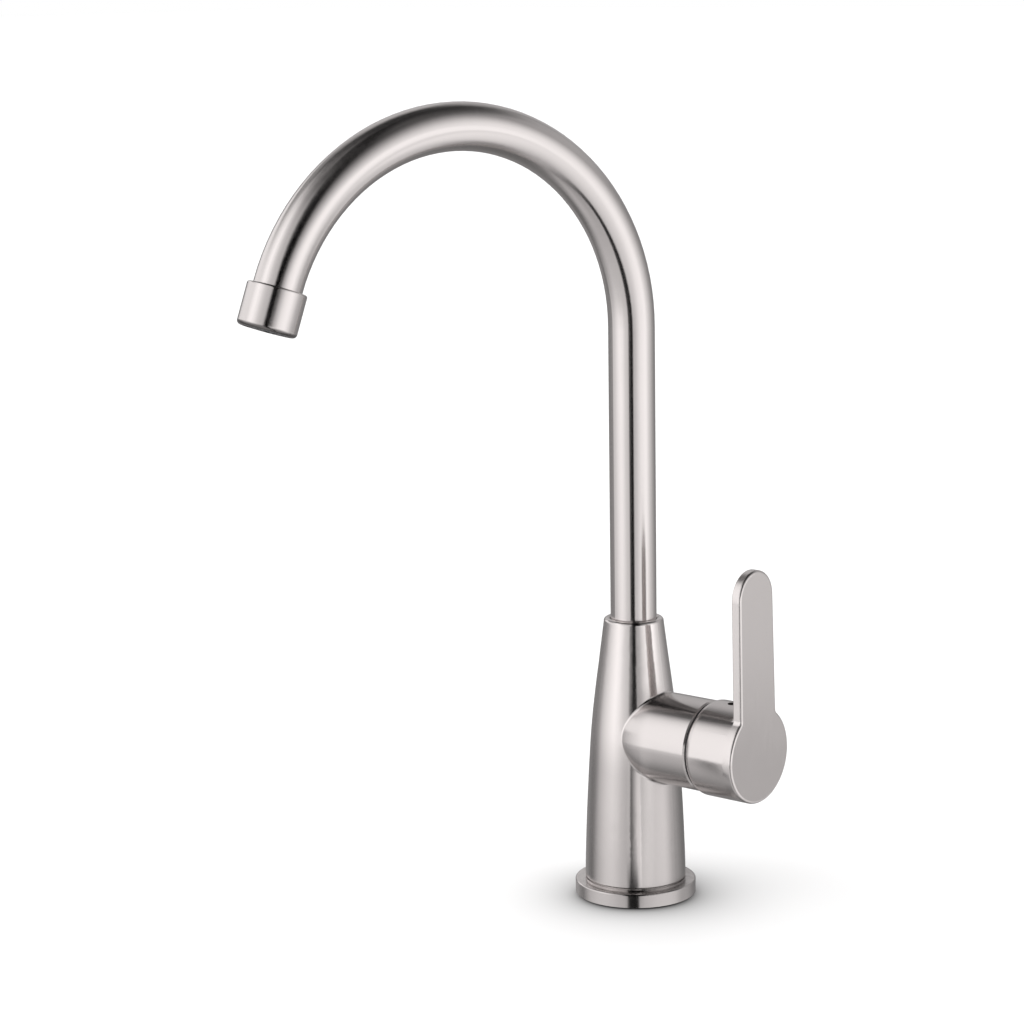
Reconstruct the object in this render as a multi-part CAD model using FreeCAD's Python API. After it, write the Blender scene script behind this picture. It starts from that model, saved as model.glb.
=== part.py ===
import FreeCAD, Part
import math
import os

# Single lever bar faucet, in millimetres, +Z up, on the deck plane z = 0.
# The body stands on the Z axis. The valve housing and the handle's axis point along +X.

V = FreeCAD.Vector
ORIGIN = V(0, 0, 0)
ALONG_X = V(1, 0, 0)
ALONG_Y = V(0, 1, 0)
ALONG_Z = V(0, 0, 1)
TURN = 360.0

# Pose that the parts are drawn in
spout_azimuth = 254.6
handle_lean = 1.8

# Clearances
running_clearance = 0.05
seat_clearance = 0.05
ball_clearance = 0.1
loose_clearance = 0.3

# Base flange and its gasket, which lifts the flange a little off the deck
flange_radius = 26.5
flange_height = 6.45
flange_round = 0.7
flange_boss_height = 0.55
gasket_inner_radius = 19.0
gasket_outer_radius = 25.2
gasket_thickness = 2.0
gasket_proud = 0.4

# Body: foot spigot, shadow groove, tapering column and rounded lip
spigot_radius = 15.0
body_foot_radius = 22.1
foot_groove_height = 0.4
foot_groove_depth = 0.9
foot_round = 0.6
body_outline = [(36.0, 21.2), (60.0, 19.9), (75.0, 18.85), (98.4, 16.15)]
body_height = 123.9
body_lip_radius = 13.05
body_lip_round = 1.5

# Spout tube
tube_radius = 10.0
tube_wall = 1.2
arc_radius = 88.5
arc_height = 250.9
arc_sweep = 160.8
tube_engagement = 12.0
outlet_stub = 7.0

# Spout socket, spigot and their rings, counted down from the body's top
socket_depth = 30.0
socket_mouth_chamfer = 0.5
spout_spigot_bore = 6.5
spout_spigot_tail = 8.0
slip_ring_height = 2.0
slip_ring_wall = 1.4
o_ring_section = 0.85
snap_ring_height = 1.2
snap_ring_inner = 9.0
snap_ring_reach = 0.6
snap_ring_gap = 6.0
ring_land = 1.1

# Aerator
cap_radius = 12.2
cap_length = 17.6
cap_top_wall = 1.5
cap_wall = 1.3
cap_top_round = 0.9
cap_end_round = 1.8
cap_lip_height = 1.15
cap_lip_bore = 9.9
washer_thickness = 1.6
washer_bore = 8.0
screen_thickness = 0.6
screen_hole_radius = 0.8
screen_pitch = 2.6
screen_rings = 3
insert_hole_radius = 1.5
insert_pitch = 3.8
insert_rings = 2
insert_recess = 0.3

# Side housing, which swells out of the body, and the cartridge cavity in it
handle_height = 72.7
housing_radius = 19.8
housing_length = 41.8
housing_chamfer = 0.6
housing_swell_length = 20.0
housing_swell_radius = 42.0
junction_round = 1.2
cavity_depth = 31.8
cartridge_radius = 14.9
cartridge_clearance = 0.2
nut_thread_radius = 16.5

# Waterways
inlet_spread = 7.5
inlet_thread_radius = 4.5
inlet_thread_depth = 12.0
supply_radius = 2.6
port_radius = 2.2
inlet_port_drop = 4.0
outlet_port_rise = 7.0
outlet_well_radius = 5.0
outlet_well_sump = 3.0
stud_offset = 9.0
stud_hole_radius = 3.4
stud_hole_depth = 14.0

# Cartridge, along the handle's axis from the cavity floor
cartridge_length = 24.0
seal_stand = 0.3
seal_section = 0.9
seal_ring_radius = 3.3
base_thickness = 4.0
fixed_disc_radius = 11.5
fixed_disc_thickness = 3.0
moving_disc_radius = 9.0
moving_disc_thickness = 3.0
mixing_pocket_radius = 4.0
mixing_pocket_depth = 1.4
carrier_thickness = 4.0
shell_wall = 2.0
shell_lip_thickness = 1.4
shell_lip_play = 0.2
sleeve_neck_radius = 10.9
sleeve_neck_proud = 2.0
slot_half_height = 6.5
pivot_depth = 10.6
pivot_pin_radius = 1.5
pivot_pin_recess = 0.4

# Stem
stem_half_width = 4.0
stem_length = 28.3
stem_eye_radius = 4.0
stem_arm_length = 8.0
stem_arm_radius = 1.5
stem_ball_radius = 2.5

# Retaining nut, dome cover and the glide ring on the housing's end
nut_length = 5.5
nut_bore = 11.6
nut_notches = 6
nut_notch_width = 3.0
nut_notch_depth = 2.0
dome_radius = 17.7
dome_wall = 1.2
dome_hole_radius = 11.2
glide_ring_radius = 19.0
glide_ring_thickness = 0.6
glide_ring_spigot = 2.0
glide_ring_bore = 15.8

# Lever handle
seam_gap = 1.3
drum_radius = 20.75
drum_rim_length = 2.4
drum_rim_wall = 0.6
drum_lap = 1.4
handle_depth = 24.2
handle_front_wall = 5.4
plate_thickness = 4.4
plate_half_width = 11.9
plate_foot_half_width = 12.5
plate_arc_height = 68.5
plate_front_round = 1.2
plate_back_round = 0.5
neck_round = 2.5
flare_radius = 1.8
flare_root = 1.5
hub_radius = 8.5
hub_clearance = 0.6
hub_screw_offset = 4.1
set_screw_radius = 1.9
set_screw_length = 4.4
set_screw_socket = 1.15
set_screw_socket_depth = 2.0
access_hole_radius = 2.1
HEX_SIDES = 6

# Sizes that follow from the ones above
body_seat = flange_height + flange_boss_height
socket_radius = tube_radius + loose_clearance
socket_floor = body_height - socket_depth
tube_bottom = body_height - tube_engagement
tube_bore = tube_radius - tube_wall
cavity_radius = cartridge_radius + cartridge_clearance
cavity_floor = housing_length - cavity_depth
shell_end = cavity_floor + cartridge_length
sleeve_neck_end = shell_end + sleeve_neck_proud
pivot_x = housing_length - pivot_depth
stem_end = pivot_x + stem_length
base_start = cavity_floor + seal_stand
base_end = base_start + base_thickness
fixed_disc_end = base_end + fixed_disc_thickness
moving_disc_start = fixed_disc_end + running_clearance
moving_disc_end = moving_disc_start + moving_disc_thickness
carrier_end = moving_disc_end + carrier_thickness
shell_bore = cartridge_radius - shell_wall
shell_lip_start = shell_end - shell_lip_thickness
sleeve_start = carrier_end + loose_clearance
nut_end = shell_end + nut_length
pivot_pin_half_length = sleeve_neck_radius - pivot_pin_recess
drum_start = housing_length + seam_gap
drum_rim_radius = housing_radius
drum_bore = drum_rim_radius - drum_rim_wall
handle_front = drum_start + handle_depth
drum_floor = handle_front - handle_front_wall
plate_back = handle_front - plate_thickness
hub_start = pivot_x + dome_radius + hub_clearance
set_screw_x = hub_start + hub_screw_offset
ports = [
    (-inlet_spread, -inlet_port_drop),
    (inlet_spread, -inlet_port_drop),
    (0.0, outlet_port_rise),
]


# ---- drawing helpers ----

def outline_wire(start, steps):
    """Closed wire in the XZ plane. A step is a point, or (point on the arc, end point)."""
    edges = []
    here = V(start[0], 0, start[1])
    for step in steps + [start]:
        is_arc = isinstance(step[0], tuple)
        end = step[1] if is_arc else step
        there = V(end[0], 0, end[1])
        if is_arc:
            middle = V(step[0][0], 0, step[0][1])
            edges.append(Part.Arc(here, middle, there).toShape())
        else:
            edges.append(Part.LineSegment(here, there).toShape())
        here = there
    return Part.Wire(edges)


def turned(start, steps):
    """Solid turned about Z from an outline of (radius, height) points."""
    return Part.Face(outline_wire(start, steps)).revolve(ORIGIN, ALONG_Z, TURN)


def eased_to(start, end):
    """Step for an arc that ends along the axis of turning."""
    rise = end[0] - start[0]
    run = end[1] - start[1]
    bend = math.tan(math.atan2(rise, run) / 2) / 2
    return ((start[0] + rise / 2 + bend * run, start[1] + run / 2 - bend * rise), end)


def on_circle(centre, radius, degrees):
    angle = math.radians(degrees)
    return (centre[0] + radius * math.cos(angle), centre[1] + radius * math.sin(angle))


def rod(radius, low, high, x=0.0, y=0.0):
    return Part.makeCylinder(radius, high - low, V(x, y, low), ALONG_Z)


def ring(outer, inner, low, high):
    return rod(outer, low, high).cut(rod(inner, low, high))


def side_rod(radius, start, end, y=0.0, rise=0.0):
    """Cylinder along +X, placed from the handle's axis."""
    return Part.makeCylinder(radius, end - start, V(start, y, handle_height + rise), ALONG_X)


def side_ring(outer, inner, start, end):
    return side_rod(outer, start, end).cut(side_rod(inner, start, end))


def side_box(start, end, half_y, half_z):
    corner = V(start, -half_y, handle_height - half_z)
    return Part.makeBox(end - start, 2 * half_y, 2 * half_z, corner)


def to_side(shape):
    """Lay a shape turned about Z along the handle's axis."""
    laid = shape.copy()
    laid.rotate(ORIGIN, ALONG_Y, 90)
    laid.translate(V(0, 0, handle_height))
    return laid


def lean(shape):
    """Turn a handle part to the pose of the lever."""
    shape = shape.copy()
    shape.rotate(V(0, 0, handle_height), ALONG_X, handle_lean)
    return shape


def swing(shape):
    """Turn a spout part, drawn towards +X, to the pose of the spout."""
    shape = shape.copy()
    shape.rotate(ORIGIN, ALONG_Z, spout_azimuth)
    return shape


def at_outlet(shape):
    """Move a shape drawn up the Z axis to the end of the spout's arc."""
    shape = shape.copy()
    shape.translate(V(0, 0, arc_height))
    shape.rotate(V(arc_radius, 0, arc_height), ALONG_Y, arc_sweep)
    return swing(shape)


def hex_points(pitch, rings):
    """Centres of a hexagonal pattern with this many rings about its middle."""
    points = []
    for column in range(-rings, rings + 1):
        for row in range(-rings, rings + 1):
            if abs(column + row) <= rings:
                points.append((pitch * (column + row / 2), pitch * row * math.sqrt(3) / 2))
    return points


# ---- base and body ----

def base_flange():
    bore = spigot_radius + seat_clearance
    shoulder = (flange_radius - flange_round, flange_height - flange_round)
    plate = turned(
        (bore, gasket_proud),
        [
            (flange_radius, gasket_proud),
            (flange_radius, shoulder[1]),
            (on_circle(shoulder, flange_round, 45), (shoulder[0], flange_height)),
            (body_foot_radius, flange_height),
            (body_foot_radius, body_seat),
            (bore, body_seat),
        ],
    )
    return plate.cut(ring(gasket_outer_radius, gasket_inner_radius, gasket_proud, gasket_thickness))


def base_gasket():
    outer = gasket_outer_radius - seat_clearance
    inner = gasket_inner_radius + seat_clearance
    return ring(outer, inner, 0, gasket_thickness)


def column():
    """The tapering body: a smooth curve from its foot to the rounded lip."""
    foot_height = body_seat + foot_groove_height
    groove_radius = body_foot_radius - foot_groove_depth
    foot_centre = (body_foot_radius - foot_round, foot_height + foot_round)
    foot_middle = on_circle(foot_centre, foot_round, -45)
    lip_start = (body_lip_radius, body_height - body_lip_round)
    lip_centre = (body_lip_radius - body_lip_round, lip_start[1])
    taper = [(body_foot_radius, foot_centre[1])]
    taper += [(radius, height) for height, radius in body_outline]
    taper += [lip_start]
    curve = Part.BSplineCurve()
    curve.interpolate([V(radius, 0, height) for radius, height in taper])
    lip_middle = on_circle(lip_centre, body_lip_round, 45)
    lip_end = V(lip_centre[0], 0, body_height)
    foot = [
        V(0, 0, body_height),
        V(0, 0, 0),
        V(spigot_radius, 0, 0),
        V(spigot_radius, 0, body_seat),
        V(groove_radius, 0, body_seat),
        V(groove_radius, 0, foot_height),
        V(foot_centre[0], 0, foot_height),
    ]
    edges = [Part.LineSegment(a, b).toShape() for a, b in zip(foot, foot[1:])]
    foot_edge = Part.Arc(
        V(foot_centre[0], 0, foot_height),
        V(foot_middle[0], 0, foot_middle[1]),
        V(body_foot_radius, 0, foot_centre[1]),
    )
    edges.append(foot_edge.toShape())
    edges.append(curve.toShape())
    lip = Part.Arc(V(lip_start[0], 0, lip_start[1]), V(lip_middle[0], 0, lip_middle[1]), lip_end)
    edges.append(lip.toShape())
    edges.append(Part.LineSegment(lip_end, foot[0]).toShape())
    return Part.Face(Part.Wire(edges)).revolve(ORIGIN, ALONG_Z, TURN)


def housing():
    """Round side arm. Its start swells in a wide arc, which gives the junction a round nose."""
    swell_centre = (housing_radius - housing_swell_radius, housing_swell_length)
    swell_angle = math.degrees(math.asin(housing_swell_length / housing_swell_radius))
    swell_middle = on_circle(swell_centre, housing_swell_radius, -swell_angle / 2)
    outline = [
        (swell_middle, (housing_radius, housing_swell_length)),
        (housing_radius, housing_length - housing_chamfer),
        (housing_radius - housing_chamfer, housing_length),
        (0, housing_length),
        (0, 0),
    ]
    return to_side(turned(on_circle(swell_centre, housing_swell_radius, -swell_angle), outline))


def snap_ring_low():
    """Foot of the snap ring, midway up the spout's spigot."""
    return socket_floor + spigot_layout()["snap_ring"]


def spigot_layout():
    """Heights of the spigot's grooves above the socket floor."""
    places = {}
    height = loose_clearance + ring_land
    for name, size in [
        ("lower_slip_ring", slip_ring_height),
        ("lower_o_ring", 2 * o_ring_section),
        ("snap_ring", snap_ring_height),
        ("upper_o_ring", 2 * o_ring_section),
        ("upper_slip_ring", slip_ring_height),
    ]:
        places[name] = height
        height += size + ring_land
    return places


def body_bores():
    """Everything that is cut out of the body casting."""
    well_bottom = handle_height + outlet_port_rise - outlet_well_sump
    groove_low = snap_ring_low() - running_clearance
    groove_high = snap_ring_low() + snap_ring_height + running_clearance
    groove_radius = socket_radius + snap_ring_reach + loose_clearance
    mouth = Part.makeCone(
        socket_radius,
        socket_radius + socket_mouth_chamfer,
        socket_mouth_chamfer,
        V(0, 0, body_height - socket_mouth_chamfer),
    )
    cuts = [
        rod(socket_radius, socket_floor, body_height),
        rod(groove_radius, groove_low, groove_high),
        mouth,
        rod(outlet_well_radius, well_bottom, socket_floor),
        side_rod(cavity_radius, cavity_floor, housing_length),
        side_rod(nut_thread_radius, shell_end, housing_length),
        rod(stud_hole_radius, 0, stud_hole_depth, -stud_offset),
    ]
    for y, rise in ports:
        cuts.append(side_rod(port_radius, 0, cavity_floor, y, rise))
    for y in (-inlet_spread, inlet_spread):
        cuts.append(rod(inlet_thread_radius, 0, inlet_thread_depth, 0, y))
        cuts.append(rod(supply_radius, inlet_thread_depth, handle_height - inlet_port_drop, 0, y))
    return cuts


def on_junction(edge):
    """True for the edges where the housing meets the column."""
    return isinstance(edge.Curve, Part.BSplineCurve) and edge.BoundBox.YLength > junction_round


def valve_body():
    casting = column().fuse(housing()).removeSplitter()
    casting = casting.makeFillet(junction_round, [edge for edge in casting.Edges if on_junction(edge)])
    for cut in body_bores():
        casting = casting.cut(cut)
    return casting


# ---- spout ----

def spout_tube():
    riser = ring(tube_radius, tube_bore, tube_bottom, arc_height)
    disc = Part.Face([Part.Wire(Part.makeCircle(tube_radius)), Part.Wire(Part.makeCircle(tube_bore))])
    disc.translate(V(0, 0, arc_height))
    bend = disc.revolve(V(arc_radius, 0, arc_height), ALONG_Y, arc_sweep)
    stub = ring(tube_radius, tube_bore, 0, outlet_stub)
    stub.translate(V(0, 0, arc_height))
    stub.rotate(V(arc_radius, 0, arc_height), ALONG_Y, arc_sweep)
    return swing(riser.fuse([bend, stub]).removeSplitter())


def spout_spigot():
    """Turned plug brazed into the tube, with grooves for its rings."""
    low = socket_floor + loose_clearance
    plug = rod(tube_radius, low, tube_bottom)
    tail = rod(tube_bore, tube_bottom, tube_bottom + spout_spigot_tail)
    plug = plug.fuse(tail)
    plug = plug.cut(rod(spout_spigot_bore, low, tube_bottom + spout_spigot_tail))
    slip_floor = socket_radius - running_clearance - slip_ring_wall
    o_floor = socket_radius - running_clearance - 2 * o_ring_section
    floors = {
        "lower_slip_ring": (slip_floor, slip_ring_height),
        "lower_o_ring": (o_floor, 2 * o_ring_section),
        "snap_ring": (snap_ring_inner, snap_ring_height),
        "upper_o_ring": (o_floor, 2 * o_ring_section),
        "upper_slip_ring": (slip_floor, slip_ring_height),
    }
    for name, height in spigot_layout().items():
        floor, size = floors[name]
        start = socket_floor + height
        plug = plug.cut(ring(socket_radius, floor, start, start + size))
    return plug


def spout_slip_ring(name):
    low = socket_floor + spigot_layout()[name]
    outer = socket_radius - running_clearance
    return ring(outer, outer - slip_ring_wall, low, low + slip_ring_height)


def spout_o_ring(name):
    middle = socket_floor + spigot_layout()[name] + o_ring_section
    radius = socket_radius - running_clearance - o_ring_section
    return Part.makeTorus(radius, o_ring_section, V(0, 0, middle), ALONG_Z)


def spout_snap_ring():
    low = snap_ring_low()
    outer = socket_radius + snap_ring_reach
    closed = ring(outer, snap_ring_inner, low, low + snap_ring_height)
    opening = Part.makeBox(
        outer, snap_ring_gap, snap_ring_height, V(0, -snap_ring_gap / 2, low)
    )
    return swing(closed.cut(opening))


def outlet_nipple():
    return at_outlet(ring(cap_radius - cap_wall - seat_clearance, tube_radius, cap_top_wall, outlet_stub))


def aerator_cap():
    bore = cap_radius - cap_wall
    lip_start = cap_length - cap_lip_height
    top_centre = (cap_radius - cap_top_round, cap_top_round)
    end_centre = (cap_radius - cap_end_round, cap_length - cap_end_round)
    entry = tube_radius + seat_clearance
    shell = turned(
        (entry, 0),
        [
            (top_centre[0], 0),
            (on_circle(top_centre, cap_top_round, -45), (cap_radius, cap_top_round)),
            (cap_radius, end_centre[1]),
            (on_circle(end_centre, cap_end_round, 45), (end_centre[0], cap_length)),
            (cap_lip_bore, cap_length),
            (cap_lip_bore, lip_start),
            (bore, lip_start),
            (bore, cap_top_wall),
            (entry, cap_top_wall),
        ],
    )
    return at_outlet(shell)


def aerator_washer():
    outer = cap_radius - cap_wall - seat_clearance
    return at_outlet(ring(outer, washer_bore, outlet_stub, outlet_stub + washer_thickness))


def pierced(disc, start, end, hole_radius, pitch, rings):
    holes = [rod(hole_radius, start, end, x, y) for x, y in hex_points(pitch, rings)]
    return at_outlet(disc.cut(holes))


def aerator_screen():
    start = outlet_stub + washer_thickness
    end = start + screen_thickness
    disc = rod(cap_radius - cap_wall - seat_clearance, start, end)
    return pierced(disc, start, end, screen_hole_radius, screen_pitch, screen_rings)


def aerator_insert():
    start = outlet_stub + washer_thickness + screen_thickness
    shoulder = cap_length - cap_lip_height
    end = cap_length - insert_recess
    disc = rod(cap_radius - cap_wall - seat_clearance, start, shoulder)
    face = rod(cap_lip_bore - loose_clearance, shoulder, end)
    return pierced(disc.fuse(face), start, end, insert_hole_radius, insert_pitch, insert_rings)


# ---- cartridge ----

def pierce_ports(shape, start, end):
    for y, rise in ports:
        shape = shape.cut(side_rod(port_radius, start, end, y, rise))
    return shape


def cartridge_base():
    plate = pierce_ports(side_rod(cartridge_radius, base_start, base_end), base_start, base_end)
    recess_radius = seal_ring_radius + seal_section + running_clearance
    recess_end = cavity_floor + 2 * seal_section
    for y, rise in ports:
        plate = plate.cut(side_rod(recess_radius, base_start, recess_end, y, rise))
    return plate


def cartridge_seals():
    seals = []
    for y, rise in ports:
        centre = V(cavity_floor + seal_section, y, handle_height + rise)
        seals.append(Part.makeTorus(seal_ring_radius, seal_section, centre, ALONG_X))
    return Part.makeCompound(seals)


def fixed_ceramic_disc():
    disc = side_rod(fixed_disc_radius, base_end, fixed_disc_end)
    return pierce_ports(disc, base_end, fixed_disc_end)


def cartridge_shell():
    tube = side_ring(cartridge_radius, shell_bore, base_end, shell_end)
    lip_bore = sleeve_neck_radius + loose_clearance
    lip = side_ring(cartridge_radius, lip_bore, shell_lip_start, shell_end)
    return tube.fuse(lip).removeSplitter()


def moving_ceramic_disc():
    disc = side_rod(moving_disc_radius, moving_disc_start, moving_disc_end)
    pocket_end = moving_disc_start + mixing_pocket_depth
    return lean(disc.cut(side_rod(mixing_pocket_radius, moving_disc_start, pocket_end)))


def disc_carrier():
    block = side_rod(moving_disc_radius, moving_disc_end, carrier_end)
    socket = side_rod(stem_ball_radius + ball_clearance, moving_disc_end, carrier_end)
    return lean(block.cut(socket))


def pivot_bore(radius, half_length):
    foot = V(pivot_x, -half_length, handle_height)
    return Part.makeCylinder(radius, 2 * half_length, foot, ALONG_Y)


def rotating_sleeve():
    shoulder = shell_lip_start - shell_lip_play
    barrel = side_rod(shell_bore - running_clearance, sleeve_start, shoulder)
    neck = side_rod(sleeve_neck_radius, shoulder, sleeve_neck_end)
    slot = side_box(sleeve_start, sleeve_neck_end, stem_half_width + loose_clearance, slot_half_height)
    sleeve = barrel.fuse(neck).cut(slot)
    return lean(sleeve.cut(pivot_bore(pivot_pin_radius, shell_bore)))


def stem_pivot_pin():
    return lean(pivot_bore(pivot_pin_radius, pivot_pin_half_length))


def cartridge_stem():
    bar = side_box(pivot_x, stem_end, stem_half_width, stem_half_width)
    eye_foot = V(pivot_x, -stem_half_width, handle_height)
    eye = Part.makeCylinder(stem_eye_radius, 2 * stem_half_width, eye_foot, ALONG_Y)
    ball_x = pivot_x - stem_arm_length
    arm = side_rod(stem_arm_radius, ball_x, pivot_x)
    ball = Part.makeSphere(stem_ball_radius, V(ball_x, 0, handle_height))
    stem = bar.fuse([eye, arm, ball])
    bore = pivot_bore(pivot_pin_radius + running_clearance, 2 * stem_half_width)
    return lean(stem.cut(bore))


def retaining_nut():
    nut = side_ring(nut_thread_radius - seat_clearance, nut_bore, shell_end, nut_end)
    for number in range(nut_notches):
        notch = Part.makeBox(
            nut_notch_depth,
            nut_notch_width,
            nut_thread_radius,
            V(nut_end - nut_notch_depth, -nut_notch_width / 2, handle_height + nut_bore + seat_clearance),
        )
        notch.rotate(V(0, 0, handle_height), ALONG_X, number * TURN / nut_notches)
        nut = nut.cut(notch)
    return nut


def dome_cover():
    """A ring of a sphere about the pivot, so that the tilting handle keeps clear of it."""
    inner_radius = dome_radius - dome_wall
    centre = (0, pivot_x)
    seat = nut_end - pivot_x

    def at_seat(radius):
        return math.degrees(math.asin(seat / radius))

    def at_hole(radius):
        return math.degrees(math.acos(dome_hole_radius / radius))

    def arc_from(radius, first, last):
        middle = on_circle(centre, radius, (first + last) / 2)
        return (middle, on_circle(centre, radius, last))

    start = on_circle(centre, dome_radius, at_seat(dome_radius))
    outline = [
        arc_from(dome_radius, at_seat(dome_radius), at_hole(dome_radius)),
        on_circle(centre, inner_radius, at_hole(inner_radius)),
        arc_from(inner_radius, at_hole(inner_radius), at_seat(inner_radius)),
    ]
    return to_side(turned(start, outline))


def handle_glide_ring():
    """Dark plastic ring in the housing's mouth, seen in the seam behind the handle."""
    flange_end = housing_length + glide_ring_thickness
    spigot_start = housing_length - glide_ring_spigot
    spigot = nut_thread_radius - seat_clearance
    flange = side_ring(glide_ring_radius, glide_ring_bore, housing_length, flange_end)
    return flange.fuse(side_ring(spigot, glide_ring_bore, spigot_start, flange_end)).removeSplitter()


# ---- lever handle ----

def keyhole_plate():
    """Front plate: a disc with an upright lever whose top is half round."""
    reach = drum_radius + neck_round
    neck_y = plate_foot_half_width + neck_round
    neck_z = math.sqrt(reach ** 2 - neck_y ** 2)
    on_disc = (neck_y * drum_radius / reach, neck_z * drum_radius / reach)
    neck_angle = (180 + math.degrees(math.atan2(neck_z, neck_y)) + 180) / 2
    neck_middle = on_circle((neck_y, neck_z), neck_round, neck_angle)
    top = plate_arc_height + plate_half_width

    def mirror(point):
        return (-point[0], point[1])

    start = (plate_half_width, plate_arc_height)
    foot = (plate_foot_half_width, neck_z)
    steps = [
        ((0, top), mirror(start)),
        mirror(foot),
        (mirror(neck_middle), mirror(on_disc)),
        ((0, -drum_radius), on_disc),
        (neck_middle, foot),
    ]
    wire = outline_wire(start, steps)
    plate = Part.Face(wire).extrude(V(0, plate_thickness, 0))
    front = [edge for edge in plate.Edges if edge.BoundBox.YMin > plate_thickness / 2]
    plate = plate.makeFillet(plate_front_round, front)
    back = [edge for edge in plate.Edges if edge.BoundBox.YMax < plate_thickness / 2]
    plate = plate.makeFillet(plate_back_round, back)
    plate.rotate(ORIGIN, ALONG_Z, -90)
    plate.translate(V(plate_back, 0, handle_height))
    return plate


def flare():
    """Concave web that blends the back of the lever into the drum."""
    start = (drum_radius, plate_back - flare_radius)
    corner = (drum_radius + flare_radius, plate_back)
    centre = (drum_radius + flare_radius, plate_back - flare_radius)
    middle = on_circle(centre, flare_radius, 135)
    inner = drum_radius - flare_root
    half_width = plate_foot_half_width - plate_back_round
    web = turned(
        (inner, start[1]),
        [start, (middle, corner), (corner[0], plate_back + plate_back_round),
         (inner, plate_back + plate_back_round)],
    )
    band = Part.makeBox(
        handle_front,
        2 * half_width,
        drum_radius + flare_radius,
        V(0, -half_width, handle_height),
    )
    return to_side(web).common(band)


def drum():
    rim = (drum_rim_radius, drum_start)
    outline = [
        rim,
        eased_to(rim, (drum_radius, drum_start + drum_rim_length)),
        (drum_radius, plate_back + drum_lap),
        (0, plate_back + drum_lap),
    ]
    return to_side(turned((0, drum_start), outline))


def lever_handle():
    square = stem_half_width + seat_clearance
    handle = drum().fuse([keyhole_plate(), flare()]).removeSplitter()
    handle = handle.cut(side_rod(drum_bore, drum_start, drum_floor))
    handle = handle.fuse(side_rod(hub_radius, hub_start, drum_floor))
    handle = handle.cut(side_box(hub_start, stem_end + seat_clearance, square, square))
    screw_hole = rod(set_screw_radius + seat_clearance, handle_height, handle_height + drum_bore, set_screw_x)
    access = rod(access_hole_radius, handle_height + hub_radius, handle_height + 2 * drum_radius, set_screw_x)
    return lean(handle.cut([screw_hole, access]))


def handle_set_screw():
    low = handle_height + stem_half_width
    high = low + set_screw_length
    screw = rod(set_screw_radius, low, high, set_screw_x)
    corners = []
    for number in range(HEX_SIDES + 1):
        x, y = on_circle((set_screw_x, 0), set_screw_socket, number * TURN / HEX_SIDES)
        corners.append(V(x, y, high - set_screw_socket_depth))
    socket = Part.Face(Part.makePolygon(corners)).extrude(V(0, 0, set_screw_socket_depth))
    return lean(screw.cut(socket))


# ---- the nodes ----

nodes = {
    "base_flange": base_flange(),
    "base_gasket": base_gasket(),
    "valve_body": valve_body(),
    "spout_tube": spout_tube(),
    "spout_spigot": spout_spigot(),
    "spout_lower_slip_ring": spout_slip_ring("lower_slip_ring"),
    "spout_upper_slip_ring": spout_slip_ring("upper_slip_ring"),
    "spout_lower_o_ring": spout_o_ring("lower_o_ring"),
    "spout_upper_o_ring": spout_o_ring("upper_o_ring"),
    "spout_snap_ring": spout_snap_ring(),
    "outlet_nipple": outlet_nipple(),
    "aerator_cap": aerator_cap(),
    "aerator_washer": aerator_washer(),
    "aerator_screen": aerator_screen(),
    "aerator_insert": aerator_insert(),
    "cartridge_base": cartridge_base(),
    "cartridge_seals": cartridge_seals(),
    "cartridge_shell": cartridge_shell(),
    "fixed_ceramic_disc": fixed_ceramic_disc(),
    "moving_ceramic_disc": moving_ceramic_disc(),
    "disc_carrier": disc_carrier(),
    "rotating_sleeve": rotating_sleeve(),
    "stem_pivot_pin": stem_pivot_pin(),
    "cartridge_stem": cartridge_stem(),
    "retaining_nut": retaining_nut(),
    "dome_cover": dome_cover(),
    "handle_glide_ring": handle_glide_ring(),
    "lever_handle": lever_handle(),
    "handle_set_screw": handle_set_screw(),
}

os.makedirs("parts", exist_ok=True)
for name, shape in nodes.items():
    shape.exportStep("parts/" + name + ".step")
    box = shape.BoundBox
    print(name, len(shape.Solids), shape.isValid(), round(shape.Volume), box)
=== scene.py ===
import math

import bpy
from mathutils import Matrix, Vector

# Studio picture of a single lever bar faucet in brushed nickel, on a white table in a light tent.
# The solids keep their shapes and places. This script gives them their materials, light and camera.

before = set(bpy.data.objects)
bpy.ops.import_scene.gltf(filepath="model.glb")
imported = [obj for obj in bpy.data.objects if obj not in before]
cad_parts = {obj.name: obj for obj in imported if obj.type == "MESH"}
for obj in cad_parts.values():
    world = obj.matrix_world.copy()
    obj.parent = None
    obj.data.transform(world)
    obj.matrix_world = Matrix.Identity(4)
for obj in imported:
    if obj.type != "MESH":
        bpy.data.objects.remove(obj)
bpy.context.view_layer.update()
scene = bpy.context.scene
MM = 0.001


# ---- short hand for node trees ----

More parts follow.
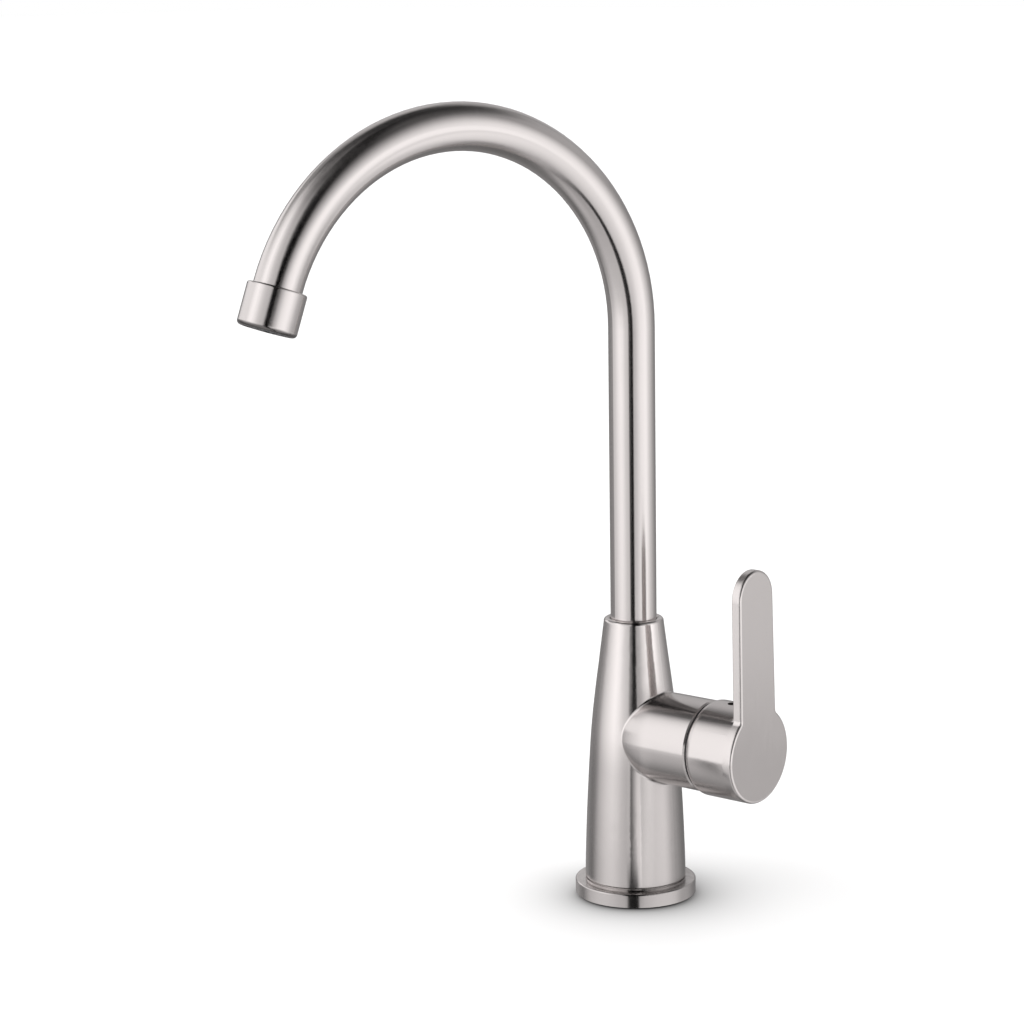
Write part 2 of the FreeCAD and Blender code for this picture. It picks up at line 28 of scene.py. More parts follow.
class Graph:
    """Adds and links the nodes of one tree."""

    def __init__(self, tree):
        self.tree = tree
        tree.nodes.clear()

    def put(self, value, socket):
        if isinstance(value, bpy.types.NodeSocket):
            self.tree.links.new(value, socket)
        else:
            socket.default_value = value

    def node(self, kind, settings=None, **inputs):
        node = self.tree.nodes.new(kind)
        for name, value in (settings or {}).items():
            setattr(node, name, value)
        for name, value in inputs.items():
            self.put(value, node.inputs[name.replace("_", " ")])
        return node

    def math(self, operation, *values):
        node = self.node("ShaderNodeMath", {"operation": operation})
        for value, socket in zip(values, node.inputs):
            self.put(value, socket)
        return node.outputs[0]

    def total(self, first, *others):
        for other in others:
            first = self.math("ADD", first, other)
        return first

    def product(self, first, *others):
        for other in others:
            first = self.math("MULTIPLY", first, other)
        return first

    def length(self, a, b):
        return self.math("SQRT", self.total(self.product(a, a), self.product(b, b)))

    def vector(self, operation, *values):
        node = self.node("ShaderNodeVectorMath", {"operation": operation})
        for value, socket in zip(values, node.inputs):
            self.put(value, socket)
        name = "Value" if operation == "DOT_PRODUCT" else "Vector"
        return node.outputs[name]

    def scaled(self, vector, amount):
        node = self.node("ShaderNodeVectorMath", {"operation": "SCALE"}, Scale=amount)
        self.put(vector, node.inputs[0])
        return node.outputs["Vector"]

    def split(self, vector):
        return self.node("ShaderNodeSeparateXYZ", Vector=vector).outputs

    def join(self, x, y, z):
        return self.node("ShaderNodeCombineXYZ", X=x, Y=y, Z=z).outputs["Vector"]

    def spread(self, value, start, end, low, high, kind="LINEAR"):
        """Goes from low to high while the value goes from start to end."""
        node = self.node("ShaderNodeMapRange", {"interpolation_type": kind}, Value=value)
        for name, number in [("From Min", start), ("From Max", end), ("To Min", low), ("To Max", high)]:
            self.put(number, node.inputs[name])
        return node.outputs["Result"]

    def step(self, value, start, end, low=0.0, high=1.0):
        return self.spread(value, start, end, low, high, "SMOOTHSTEP")

    def noise(self, vector, scale, detail=2.0, rough=0.5):
        node = self.node("ShaderNodeTexNoise", Vector=vector, Scale=scale, Detail=detail, Roughness=rough)
        return node.outputs["Fac"]

    def mix(self, factor, a, b):
        """Mixes two vectors or colours."""
        node = self.node("ShaderNodeMix", {"data_type": "RGBA"})
        for value, number in [(factor, 0), (a, 6), (b, 7)]:
            self.put(value, node.inputs[number])
        return node.outputs[2]

    def blend(self, factor, a, b):
        """Mixes two numbers."""
        node = self.node("ShaderNodeMix", {"data_type": "FLOAT"})
        for value, number in [(factor, 0), (a, 2), (b, 3)]:
            self.put(value, node.inputs[number])
        return node.outputs[0]

    def levels(self, degrees, stops):
        """Brightness by degrees from -180 to 180."""
        peak = max(level for place, level in stops)
        node = self.node("ShaderNodeValToRGB", Fac=self.spread(degrees, -180.0, 180.0, 0.0, 1.0))
        elements = node.color_ramp.elements
        while len(elements) < len(stops):
            elements.new(0.5)
        for element, (place, level) in zip(elements, stops):
            element.position = (place + 180) / 360
            element.color = (level / peak, level / peak, level / peak, 1)
        return self.product(node.outputs["Color"], peak)


# ---- camera ----

CAMERA_PLACE = (0.7628, -0.9685, 0.4032)
CAMERA_HEADING = 130.65
CAMERA_PITCH = 10.673
CAMERA_ROLL = 0.885
CAMERA_LENS = 102.06


def photo_camera():
    heading = math.radians(CAMERA_HEADING)
    pitch = math.radians(CAMERA_PITCH)
    level = Vector((math.cos(heading), math.sin(heading), 0))
    forward = level * math.cos(pitch) - Vector((0, 0, math.sin(pitch)))
    right = Vector((level.y, -level.x, 0))
    upright = Matrix((right, right.cross(forward), -forward)).transposed()
    turned = upright @ Matrix.Rotation(math.radians(-CAMERA_ROLL), 3, "Z")
    data = bpy.data.cameras.new("photo_camera")
    data.lens = CAMERA_LENS
    data.clip_start = 0.05
    camera = bpy.data.objects.new("photo_camera", data)
    camera.matrix_world = Matrix.Translation(CAMERA_PLACE) @ turned.to_4x4()
    scene.collection.objects.link(camera)
    scene.camera = camera


# ---- studio ----

# Directions are given in degrees round from the front of the tent, counter-clockwise from above,
# and in degrees above the horizon. Brightness 1 is white paper.
TENT_FRONT = -51.8
WALLS = [
    (-180, 0.24), (-130, 0.25), (-110, 0.40), (-97, 0.78), (-82, 1.06), (-68, 1.26), (-56, 1.40),
    (-44, 1.26), (-34, 0.98), (-18, 0.76), (14, 0.72), (30, 1.02), (42, 1.24), (72, 1.30),
    (88, 0.98), (104, 0.71), (120, 0.46), (140, 0.28), (180, 0.24),
]
TABLE = [
    (-180, 0.24), (-147, 0.30), (-121, 0.14), (-98, 0.48), (-76, 0.66), (-20, 0.64), (20, 0.85),
    (70, 1.10), (84, 0.90), (100, 0.47), (112, 0.45), (150, 0.24), (180, 0.24),
]

# A pair is where a soft edge starts and ends. Four numbers are a window's low and high edges.
LEFT_OF_FRONT = (15.0, -15.0)
WALL_TOP_LEFT = 53.0
WALL_TOP_DIP = 8.0
WALL_TOP_DIP_ROUND = (-150.0, -138.0, -114.0, -102.0)
WALL_TOP_RIGHT = 32.0
TOP_SOFT_LEFT = 9.0
TOP_SOFT_RIGHT = 30.0
WALL_LEAN = 0.22
CEILING = 0.09
RIGHT_FADE = 0.10
RIGHT_FADE_ROUND = (10.0, 75.0)
RIGHT_FADE_HEIGHT = (0.0, 6.0)
FRONT_DIM = 0.14
FRONT_DIM_ROUND = (-72.0, -55.0)
FRONT_DIM_HEIGHT = (8.0, 20.0)
LEFT_PANEL = 1.05
LEFT_PANEL_ROUND = (-158.0, -140.0, -92.0, -78.0)
LEFT_PANEL_HEIGHT = (-2.0, 8.0, 24.0, 34.0)
RIGHT_PANEL = 0.50
RIGHT_PANEL_ROUND = (92.0, 106.0, 142.0, 158.0)
RIGHT_PANEL_HEIGHT = (8.0, 18.0, 36.0, 48.0)
BACKDROP = 0.34
BACKDROP_ROUND = (140.0, 165.0)
BACKDROP_HEIGHT = (2.0, 16.0, 40.0, 56.0)

TABLE_EDGE = -14.5
TABLE_EDGE_SOFT = 1.0
TABLE_FAR_BELOW = 0.6
TABLE_FALL = (-75.0, -25.0)
TABLE_GLOW_LEFT = 0.22
GLOW_LEFT_ROUND = (-50.0, -70.0)
GLOW_LEFT_HEIGHT = (-26.0, -15.0)
TABLE_GLOW_RIGHT = 0.33
GLOW_RIGHT_ROUND = (70.0, 88.0, 118.0, 150.0)
GLOW_RIGHT_HEIGHT = (-60.0, -46.0, -25.0, -17.0)
TABLE_GLOW_BELOW = 0.22
GLOW_BELOW_ROUND = (-140.0, -125.0, -95.0, 5.0)
GLOW_BELOW_HEIGHT = (-50.0, -68.0)

GAP_DEEP_CENTRE = 13.0
GAP_DEEP_HEIGHT = (-60.0, -35.0)
GAP_LOW_CENTRE = -4.25
GAP_LOW_HALF = 11.0
GAP_HIGH_CENTRE = 9.3
GAP_HIGH_HALF = 14.6
GAP_HIGH_HEIGHT = (2.0, 6.0)
GAP_SOFT = 2.0
GAP_DARK = 0.012
BACKGROUND = 1.0
TENT_COLOUR = (1.0, 0.985, 0.985, 1)


def window(graph, value, edges):
    """1 between two soft edges, 0 outside them."""
    low_start, low_end, high_end, high_start = edges
    return graph.product(graph.step(value, low_start, low_end), graph.step(value, high_start, high_end))


def tent_walls(graph, azimuth, height):
    """Bright walls that lean in under a dim ceiling, dimmer beside the gap, with a lit backdrop."""
    leftness = graph.step(azimuth, *LEFT_OF_FRONT)
    lean = graph.product(leftness, WALL_LEAN, graph.math("MAXIMUM", height, 0.0))
    walls = graph.levels(graph.total(azimuth, lean), WALLS)
    dip = graph.product(window(graph, azimuth, WALL_TOP_DIP_ROUND), WALL_TOP_DIP)
    top = graph.math("SUBTRACT", graph.blend(leftness, WALL_TOP_RIGHT, WALL_TOP_LEFT), dip)
    soft = graph.blend(leftness, TOP_SOFT_RIGHT, TOP_SOFT_LEFT)
    above = graph.math("DIVIDE", graph.math("SUBTRACT", height, top), soft)
    walls = graph.product(walls, graph.step(above, 1.0, -1.0, CEILING, 1.0))
    fade = graph.blend(leftness, graph.spread(azimuth, *RIGHT_FADE_ROUND, RIGHT_FADE, 1.0), 1.0)
    walls = graph.product(walls, graph.blend(graph.step(height, *RIGHT_FADE_HEIGHT), 1.0, fade))
    beside_front = graph.step(azimuth, *FRONT_DIM_ROUND)
    left_front = graph.product(beside_front, leftness, graph.step(height, *FRONT_DIM_HEIGHT))
    walls = graph.product(walls, graph.blend(left_front, 1.0, 1.0 - FRONT_DIM))
    panels = [
        (LEFT_PANEL, LEFT_PANEL_ROUND, LEFT_PANEL_HEIGHT),
        (RIGHT_PANEL, RIGHT_PANEL_ROUND, RIGHT_PANEL_HEIGHT),
    ]
    for level, round_edges, height_edges in panels:
        panel = graph.product(window(graph, azimuth, round_edges), window(graph, height, height_edges))
        walls = graph.math("MAXIMUM", walls, graph.product(panel, level))
    behind = graph.step(graph.math("ABSOLUTE", azimuth), *BACKDROP_ROUND)
    backdrop = graph.product(behind, window(graph, height, BACKDROP_HEIGHT))
    return graph.total(walls, graph.product(backdrop, BACKDROP))


def tent_table(graph, azimuth, height):
    """The table: brighter on its left edge, at the right and below on the left."""
    fall = graph.step(height, *TABLE_FALL, TABLE_FAR_BELOW, 1.0)
    table = graph.product(graph.levels(azimuth, TABLE), fall)
    left = graph.product(graph.step(azimuth, *GLOW_LEFT_ROUND), graph.step(height, *GLOW_LEFT_HEIGHT))
    table = graph.product(table, graph.blend(left, 1.0, 1.0 + TABLE_GLOW_LEFT))
    right = graph.product(window(graph, azimuth, GLOW_RIGHT_ROUND), window(graph, height, GLOW_RIGHT_HEIGHT))
    below = graph.product(window(graph, azimuth, GLOW_BELOW_ROUND), graph.step(height, *GLOW_BELOW_HEIGHT))
    return graph.total(table, graph.product(right, TABLE_GLOW_RIGHT), graph.product(below, TABLE_GLOW_BELOW))


def tent_light(graph, azimuth, height):
    on_table = graph.step(height, TABLE_EDGE + TABLE_EDGE_SOFT, TABLE_EDGE - TABLE_EDGE_SOFT)
    return graph.blend(on_table, tent_walls(graph, azimuth, height), tent_table(graph, azimuth, height))


def tent_gap(graph, azimuth, height):
    """The dark gap in the tent's front, which stands further right above the horizon."""
    high = graph.step(height, *GAP_HIGH_HEIGHT)
    low_centre = graph.step(height, *GAP_DEEP_HEIGHT, GAP_DEEP_CENTRE, GAP_LOW_CENTRE)
    centre = graph.blend(high, low_centre, GAP_HIGH_CENTRE)
    upright = graph.math("DIVIDE", GAP_HIGH_HALF, graph.math("COSINE", graph.math("RADIANS", height)))
    half = graph.blend(high, GAP_LOW_HALF, upright)
    aside = graph.math("ABSOLUTE", graph.math("SUBTRACT", azimuth, centre))
    gap = graph.step(graph.math("SUBTRACT", aside, half), GAP_SOFT, -GAP_SOFT)
    return graph.blend(gap, 1.0, GAP_DARK)


def studio_world():
    world = bpy.data.worlds.new("studio")
    scene.world = world
    world.use_nodes = True
    graph = Graph(world.node_tree)
    sight = graph.node("ShaderNodeTexCoord").outputs["Generated"]
    ahead = graph.vector("DOT_PRODUCT", sight, tuple(tent_front))
    aside = graph.vector("DOT_PRODUCT", sight, tuple(tent_aside))
    azimuth = graph.math("DEGREES", graph.math("ARCTAN2", aside, ahead))
    height = graph.math("DEGREES", graph.math("ARCSINE", graph.split(sight)["Z"]))
    light = graph.product(tent_light(graph, azimuth, height), tent_gap(graph, azimuth, height))
    tent = graph.node("ShaderNodeBackground", Color=TENT_COLOUR, Strength=light)
    white = graph.node("ShaderNodeBackground", Color=(1, 1, 1, 1), Strength=BACKGROUND)
    seen = graph.node("ShaderNodeLightPath").outputs["Is Camera Ray"]
    both = graph.node("ShaderNodeMixShader", Fac=seen)
    graph.put(tent.outputs[0], both.inputs[1])
    graph.put(white.outputs[0], both.inputs[2])
    graph.node("ShaderNodeOutputWorld", Surface=both.outputs[0])


FLOOR_HALF = 20.0
FLOOR_WHITE = 0.92
FOOT_RADIUS = 26.5 * MM
SIDE_SHADE = 0.38
FRONT_SHADE = 0.14
CONTACT_SHADE = 0.40
SHADE_REACH = 13.0 * MM
CONTACT_REACH = 2.6 * MM
FRONTNESS = (-0.3, 1.0)
OVERHEAD_SPREAD = 110.0
OVERHEAD_POWER = 2.8


def floor():
    """White paper with a soft shadow painted round the foot, deeper in front."""
    corners = [(-1, -1), (1, -1), (1, 1), (-1, 1)]
    mesh = bpy.data.meshes.new("floor")
    mesh.from_pydata([(x * FLOOR_HALF, y * FLOOR_HALF, 0) for x, y in corners], [], [(0, 1, 2, 3)])
    plane = bpy.data.objects.new("floor", mesh)
    scene.collection.objects.link(plane)
    plane.visible_glossy = False
    plane.visible_shadow = False
    material, graph = new_material("pale_floor")
    place = graph.node("ShaderNodeTexCoord").outputs["Object"]
    parts = graph.split(place)
    reach = graph.length(parts["X"], parts["Y"])
    away = graph.math("MAXIMUM", graph.math("SUBTRACT", reach, FOOT_RADIUS), 0.0)
    ahead = graph.vector("DOT_PRODUCT", place, tuple(tent_front))
    frontness = graph.step(graph.math("DIVIDE", ahead, graph.math("MAXIMUM", reach, MM)), *FRONTNESS)
    wide = graph.math("EXPONENT", graph.math("DIVIDE", away, -SHADE_REACH))
    contact = graph.math("EXPONENT", graph.math("DIVIDE", away, -CONTACT_REACH))
    wide_depth = graph.blend(frontness, SIDE_SHADE, SIDE_SHADE + FRONT_SHADE)
    darkness = graph.total(graph.product(wide, wide_depth), graph.product(contact, frontness, CONTACT_SHADE))
    shade = graph.math("SUBTRACT", 1.0, darkness)
    paper = graph.mix(shade, (0, 0, 0, 1), (FLOOR_WHITE, FLOOR_WHITE, FLOOR_WHITE, 1))
    surface = graph.node("ShaderNodeBsdfDiffuse", Color=paper)
    graph.node("ShaderNodeOutputMaterial", Surface=surface.outputs[0])
    mesh.materials.append(material)


CARD_AHEAD = 60.0 * MM
CARD_LEFT = -17.0 * MM
CARD_RIGHT = 12.0 * MM
CARD_LOW = 0.5 * MM
CARD_HIGH = 64.0 * MM
CARD_FADE = 10.0 * MM
CARD_LINE = -10.3 * MM
CARD_LINE_SOFT = 0.7 * MM
CARD_RAMP_START = -9.0 * MM
CARD_RAMP_END = 5.0 * MM
CARD_BESIDE_RAMP = (CARD_RAMP_END - 3 * MM, CARD_RAMP_END + 2 * MM)
CARD_DARK = 0.14
CARD_BRIGHT = 1.15
CARD_LEFT_LIGHT = 0.80
CARD_RAMP_POWER = 1.3


def reflector_card():
    """A small card low before the foot, dark to light. It lights only the valve body."""
    corners = [(CARD_LEFT, CARD_LOW), (CARD_RIGHT, CARD_LOW), (CARD_RIGHT, CARD_HIGH), (CARD_LEFT, CARD_HIGH)]
    points = [tent_front * CARD_AHEAD + tent_aside * place + along_z * rise for place, rise in corners]
    mesh = bpy.data.meshes.new("reflector_card")
    mesh.from_pydata([tuple(point) for point in points], [], [(0, 1, 2, 3)])
    card = bpy.data.objects.new("reflector_card", mesh)
    scene.collection.objects.link(card)
    card.visible_camera = False
    card.visible_diffuse = False
    card.visible_shadow = False
    lit_by_card = bpy.data.collections.new("lit_by_card")
    lit_by_card.objects.link(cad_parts["valve_body"])
    card.light_linking.receiver_collection = lit_by_card
    material, graph = new_material("card_ramp")
    place = graph.node("ShaderNodeTexCoord").outputs["Object"]
    across = graph.vector("DOT_PRODUCT", place, tuple(tent_aside))
    ramp = graph.spread(across, CARD_RAMP_START, CARD_RAMP_END, 0.0, 1.0)
    light = graph.spread(graph.math("POWER", ramp, CARD_RAMP_POWER), 0.0, 1.0, CARD_DARK, CARD_BRIGHT)
    on_left = graph.step(across, CARD_LINE + CARD_LINE_SOFT, CARD_LINE - CARD_LINE_SOFT)
    light = graph.blend(on_left, light, CARD_LEFT_LIGHT)
    fade = graph.step(graph.split(place)["Z"], 0.0, CARD_FADE)
    beside = graph.step(across, *CARD_BESIDE_RAMP)
    light = graph.product(light, graph.blend(beside, fade, 1.0))
    glow = graph.node("ShaderNodeEmission", Color=TENT_COLOUR, Strength=light)
    graph.node("ShaderNodeOutputMaterial", Surface=glow.outputs[0])
    mesh.materials.append(material)


def overhead_light():
    """A broad, even light from above for the floor. The metal mirrors the tent alone."""
    data = bpy.data.lights.new("overhead", "SUN")
    data.angle = math.radians(OVERHEAD_SPREAD)
    data.energy = OVERHEAD_POWER
    lamp = bpy.data.objects.new("overhead", data)
    lamp.visible_glossy = False
    scene.collection.objects.link(lamp)


# ---- the faucet's sizes that the brush lines follow ----

HANDLE_HEIGHT = 72.7 * MM
HOUSING_REACH = 20.2 * MM
COLUMN_RADIUS = 19.0 * MM
COLUMN_SLOPE = 0.0925
COLUMN_BEND = 1.1
PLATE_BACK = 62.9 * MM
ARC_HEIGHT = 250.9 * MM
ARC_RADIUS = 88.5 * MM
SPOUT_AZIMUTH = math.radians(254.6)
ARC_SWEEP = math.radians(160.8)

along_x = Vector((1, 0, 0))
along_y = Vector((0, 1, 0))
along_z = Vector((0, 0, 1))
tent_front = Vector((math.cos(math.radians(TENT_FRONT)), math.sin(math.radians(TENT_FRONT)), 0))
tent_aside = along_z.cross(tent_front)
spout_out = Vector((math.cos(SPOUT_AZIMUTH), math.sin(SPOUT_AZIMUTH), 0))
spout_side = Vector((-math.sin(SPOUT_AZIMUTH), math.cos(SPOUT_AZIMUTH), 0))
outlet_axis = spout_out * math.sin(ARC_SWEEP) + along_z * math.cos(ARC_SWEEP)


# ---- grains: the place along and across the brush lines, and the way across them ----

def straight_grain(graph, place, axis):
    """Lines at right angles to an axis, round it or flat."""
    aside = axis.orthogonal().normalized()
    parts = [graph.vector("DOT_PRODUCT", place, tuple(way)) for way in (aside, axis.cross(aside), axis)]
    return graph.join(*parts), tuple(axis)


def upright_grain(graph, place):
    return straight_grain(graph, place, along_z)


def cap_grain(graph, place):
    return straight_grain(graph, place, outlet_axis)


def either_grain(graph, place, factor, first, second):
    """Lines round the first axis, which give way to lines round the second."""
    first_place, first_way = straight_grain(graph, place, first)
    second_place, second_way = straight_grain(graph, place, second)
    way = graph.mix(factor, first_way + (1,), second_way + (1,))
    return graph.mix(factor, first_place, second_place), way


def body_grain(graph, place):
    """Lines round the column, and round the side housing where that stands out of it."""
    x, y, z = graph.split(place)
    rise = graph.math("SUBTRACT", z, HANDLE_HEIGHT)
    taper = graph.total(graph.product(rise, COLUMN_SLOPE), graph.product(rise, rise, COLUMN_BEND))
    proud = graph.math("SUBTRACT", graph.total(graph.length(x, y), taper), COLUMN_RADIUS)
    level = graph.math("LESS_THAN", graph.math("ABSOLUTE", rise), HOUSING_REACH)
    housing = graph.product(graph.step(proud, 0.2 * MM, 0.9 * MM), level)
    return either_grain(graph, place, housing, along_z, along_x)


def lever_grain(graph, place):
    """Lines round the drum, and upright lines on the front plate."""
    on_plate = graph.math("GREATER_THAN", graph.split(place)["X"], PLATE_BACK)
    return either_grain(graph, place, on_plate, along_x, along_y)


def spout_grain(graph, place):
    """Lines round the riser and round the arc, in one run along the tube."""
    out = graph.vector("DOT_PRODUCT", place, tuple(spout_out))
    side = graph.vector("DOT_PRODUCT", place, tuple(spout_side))
    rise = graph.math("SUBTRACT", graph.split(place)["Z"], ARC_HEIGHT)
    inward = graph.math("SUBTRACT", ARC_RADIUS, out)
    on_arc = graph.math("GREATER_THAN", rise, 0.0)
    angle = graph.math("ARCTAN2", rise, inward)
    run = graph.blend(on_arc, rise, graph.product(angle, ARC_RADIUS))
    bulge = graph.blend(on_arc, inward, graph.length(rise, inward))
    turn_out = graph.scaled(tuple(spout_out), graph.math("SINE", angle))
    turn_up = graph.scaled(tuple(along_z), graph.math("COSINE", angle))
    way = graph.mix(on_arc, (0, 0, 1, 1), graph.vector("ADD", turn_out, turn_up))
    return graph.join(side, bulge, run), way


# ---- painted light: painted shade and painted highlights on the metal, from place to place ----

# Sides, strips and ends are distances to the right of the column's front.
# Valve body column: painted shade low down and on the right, and painted highlight strips.
COLUMN_PAINTED_SHADES = (0.81, 0.69)
COLUMN_SIDES = (-5 * MM, 15 * MM)
COLUMN_FOOT_HEIGHT = (78 * MM, 56 * MM)
COLUMN_TOP_HEIGHT = (90 * MM, 100 * MM)
STRIP_PAINTED_HIGHLIGHT = 0.22
FOOT_HIGHLIGHT_STRIP = (1.5 * MM, 3 * MM, 4 * MM, 9 * MM)
TOP_HIGHLIGHT_STRIP = (0.0, 2 * MM, 5 * MM, 12 * MM)
# Aerator cap mouth: painted shade on its round edge.
MOUTH_EDGE_START = 1.9 * MM
MOUTH_EDGE_END = 0.9 * MM
MOUTH_EDGE_PAINTED_SHADE = 0.35
# Base flange: painted shade right of the front, painted highlights at its two ends.
FLANGE_PAINTED_SHADES = (0.80, 0.64)
FLANGE_SIDES = (4 * MM, 16 * MM)
FLANGE_LEFT_PAINTED_HIGHLIGHT = 0.28
FLANGE_LEFT_END = (-14 * MM, -25 * MM)
FLANGE_RIGHT_PAINTED_HIGHLIGHT = 0.20
FLANGE_RIGHT_END = (18 * MM, 26 * MM)


def front_side(graph, place):
    """Distance to the right of the column's front."""
    return graph.vector("DOT_PRODUCT", place, tuple(tent_aside))


# No painted light: the metal keeps its own colour all over.
def no_painted_light(graph, place):
    return 1.0


def body_painted_shade_and_highlight(graph, place):
    """Painted shade below the housing, more so on the right, with a painted highlight strip low and at the
    top.
    """
    side = front_side(graph, place)
    z = graph.split(place)["Z"]
    foot = graph.spread(side, *COLUMN_SIDES, *COLUMN_PAINTED_SHADES)
    foot = graph.total(foot, graph.product(window(graph, side, FOOT_HIGHLIGHT_STRIP), STRIP_PAINTED_HIGHLIGHT))
    top = graph.total(1.0, graph.product(window(graph, side, TOP_HIGHLIGHT_STRIP), STRIP_PAINTED_HIGHLIGHT))
    upper = graph.blend(graph.step(z, *COLUMN_TOP_HEIGHT), 1.0, top)
    return graph.blend(graph.step(z, *COLUMN_FOOT_HEIGHT), upper, foot)


def cap_painted_shade(graph, place):
    """Painted shade on the round edge of the mouth."""
    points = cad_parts["aerator_cap"].data.vertices
    mouth = max(point.co.dot(outlet_axis) for point in points)
    run = graph.vector("DOT_PRODUCT", place, tuple(outlet_axis))
    return graph.step(run, mouth - MOUTH_EDGE_START, mouth - MOUTH_EDGE_END, 1.0, MOUTH_EDGE_PAINTED_SHADE)


def flange_painted_shade_and_highlight(graph, place):
    """Painted shade on the right of the front, and painted highlights at its two ends."""
    side = front_side(graph, place)
    middle = graph.spread(side, *FLANGE_SIDES, *FLANGE_PAINTED_SHADES)
    left_end = graph.step(side, *FLANGE_LEFT_END, 0.0, FLANGE_LEFT_PAINTED_HIGHLIGHT)
    right_end = graph.step(side, *FLANGE_RIGHT_END, 0.0, FLANGE_RIGHT_PAINTED_HIGHLIGHT)
    return graph.total(middle, left_end, right_end)


# ---- materials ----

NICKEL = (0.735, 0.700, 0.690)
NICKEL_ROUGHNESS = 0.20
NICKEL_ANISOTROPY = 0.90
LINE_SWING = 0.025
CLOUD_SWING = 0.008
CLOUD_SCALE = 60.0
LINE_TINTS = (0.985, 1.015)
BRUSH_LINE = 0.16 * MM
BRUSH_REACH = 9.0 * MM
BAND_LINE = 1.1 * MM
BRUSH_DEPTH = 0.0010 * MM


def new_material(name):
    material = bpy.data.materials.new(name)
    material.use_nodes = True
    return material, Graph(material.node_tree)


def rgba(colour, factor=1.0):
    return tuple(min(1.0, part * factor) for part in colour) + (1,)


def brush_noise(graph, where, line, detail):
    """Noise that is long along the brush lines and fine across them."""
    a, b, c = graph.split(where)
    sizes = [(a, BRUSH_REACH), (b, BRUSH_REACH), (c, line)]
    return graph.noise(graph.join(*[graph.math("DIVIDE", part, size) for part, size in sizes]), 1.0, detail)


def brushed_nickel(name, grain, shade=no_painted_light):
    material, graph = new_material(name)
    place = graph.node("ShaderNodeTexCoord").outputs["Object"]
    where, way = grain(graph, place)
    fine = brush_noise(graph, where, BRUSH_LINE, 3.0)
    band = brush_noise(graph, where, BAND_LINE, 2.0)
    cloud = graph.noise(place, CLOUD_SCALE, 3.0, 0.55)
    lines = graph.total(graph.product(fine, 0.6), graph.product(band, 0.4))
    dull = graph.total(
        graph.spread(lines, 0.25, 0.75, NICKEL_ROUGHNESS - LINE_SWING, NICKEL_ROUGHNESS + LINE_SWING),
        graph.spread(cloud, 0.3, 0.7, -CLOUD_SWING, CLOUD_SWING),
    )
    darker, lighter = [rgba(NICKEL, factor) for factor in LINE_TINTS]
    tint = graph.mix(graph.spread(lines, 0.3, 0.7, 0.0, 1.0), darker, lighter)
    # Multiplies in the part's painted shade and painted highlights.
    tint = graph.scaled(tint, shade(graph, place))
    bump = graph.node("ShaderNodeBump", Strength=1.0, Distance=BRUSH_DEPTH, Height=fine)
    turned = graph.node(
        "ShaderNodeVectorTransform",
        {"vector_type": "VECTOR", "convert_from": "OBJECT", "convert_to": "WORLD"},
        Vector=way,
    )
    shader = graph.node(
        "ShaderNodeBsdfPrincipled", Metallic=1.0, Roughness=dull, Base_Color=tint,
        Anisotropic=NICKEL_ANISOTROPY, Normal=bump.outputs["Normal"], Tangent=turned.outputs["Vector"],
    )
    graph.node("ShaderNodeOutputMaterial", Surface=shader.outputs[0])
    return material


def plain_metal(name, colour, roughness, line=0.3 * MM):
    material, graph = new_material(name)
    place = graph.node("ShaderNodeTexCoord").outputs["Object"]
    marks = graph.noise(place, 1 / line, 2.0)
    dull = graph.spread(marks, 0.3, 0.7, roughness - 0.05, roughness + 0.05)
    shade = graph.mix(graph.noise(place, 150.0), rgba(colour, 0.9), rgba(colour))
    bump = graph.node("ShaderNodeBump", Strength=1.0, Distance=0.004 * MM, Height=marks)
    shader = graph.node("ShaderNodeBsdfPrincipled", Metallic=1.0, Roughness=dull, Base_Color=shade,
                        Normal=bump.outputs["Normal"])
    graph.node("ShaderNodeOutputMaterial", Surface=shader.outputs[0])
    return material


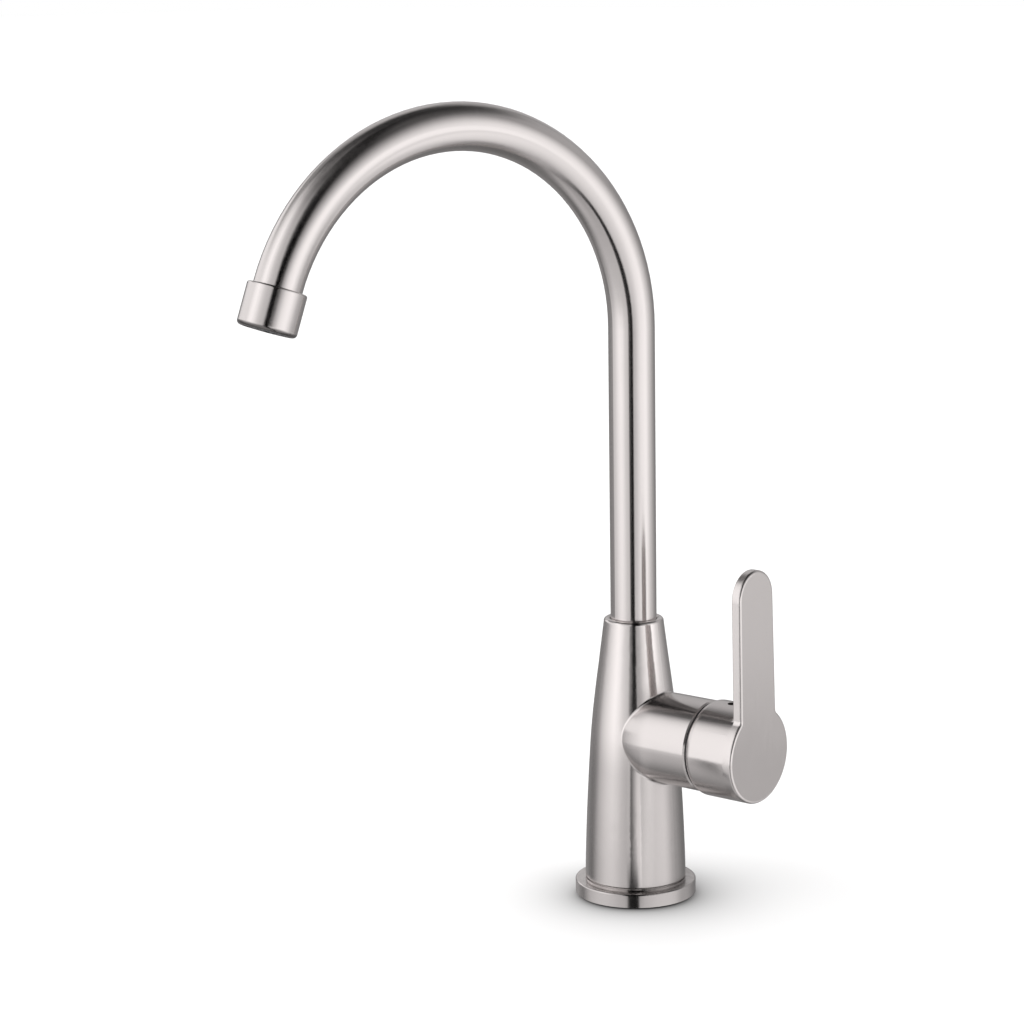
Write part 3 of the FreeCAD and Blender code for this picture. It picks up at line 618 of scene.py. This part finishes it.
def moulded(name, colour, roughness, grain=0.4 * MM):
    material, graph = new_material(name)
    place = graph.node("ShaderNodeTexCoord").outputs["Object"]
    pits = graph.noise(place, 1 / grain, 3.0)
    dull = graph.spread(pits, 0.3, 0.7, roughness - 0.06, roughness + 0.06)
    shade = graph.mix(graph.noise(place, 120.0), rgba(colour, 0.88), rgba(colour))
    bump = graph.node("ShaderNodeBump", Strength=0.6, Distance=0.01 * MM, Height=pits)
    shader = graph.node("ShaderNodeBsdfPrincipled", Roughness=dull, Base_Color=shade,
                        Normal=bump.outputs["Normal"])
    graph.node("ShaderNodeOutputMaterial", Surface=shader.outputs[0])
    return material


def dress_finished_parts():
    finished = {
        "base_flange": brushed_nickel("nickel_flange", upright_grain, flange_painted_shade_and_highlight),
        "valve_body": brushed_nickel("nickel_body", body_grain, body_painted_shade_and_highlight),
        "spout_tube": brushed_nickel("nickel_spout", spout_grain),
        "aerator_cap": brushed_nickel("nickel_cap", cap_grain, cap_painted_shade),
        "lever_handle": brushed_nickel("nickel_lever", lever_grain),
    }
    for name, material in finished.items():
        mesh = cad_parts[name].data
        mesh.materials.clear()
        mesh.materials.append(material)


def dress_inner_parts():
    """Gives each plain material of the frame its textured one."""
    inner = {
        "seal_rubber": moulded("rubber_black", (0.02, 0.02, 0.022), 0.6),
        "brass_core": plain_metal("brass_machined", (0.72, 0.54, 0.26), 0.3),
        "bearing_plastic": moulded("plastic_bearing", (0.75, 0.74, 0.70), 0.45),
        "stainless": plain_metal("steel_stainless", (0.56, 0.55, 0.54), 0.3),
        "aerator_plastic": moulded("plastic_aerator", (0.10, 0.10, 0.105), 0.5),
        "cartridge_plastic": moulded("plastic_cartridge", (0.20, 0.28, 0.38), 0.4),
        "ceramic": moulded("ceramic_disc", (0.82, 0.80, 0.76), 0.15),
        "dome_chrome": plain_metal("chrome_dome", (0.62, 0.62, 0.63), 0.12),
        "glide_plastic": moulded("plastic_glide", (0.015, 0.015, 0.016), 0.5),
        "dark_steel": plain_metal("steel_dark", (0.12, 0.12, 0.13), 0.4),
    }
    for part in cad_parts.values():
        for number, slot in enumerate(part.material_slots):
            plain = slot.material.name.split(".")[0] if slot.material else ""
            if plain in inner:
                part.data.materials[number] = inner[plain]


photo_camera()
studio_world()
floor()
reflector_card()
overhead_light()
dress_finished_parts()
dress_inner_parts()
scene.view_settings.view_transform = "Standard"
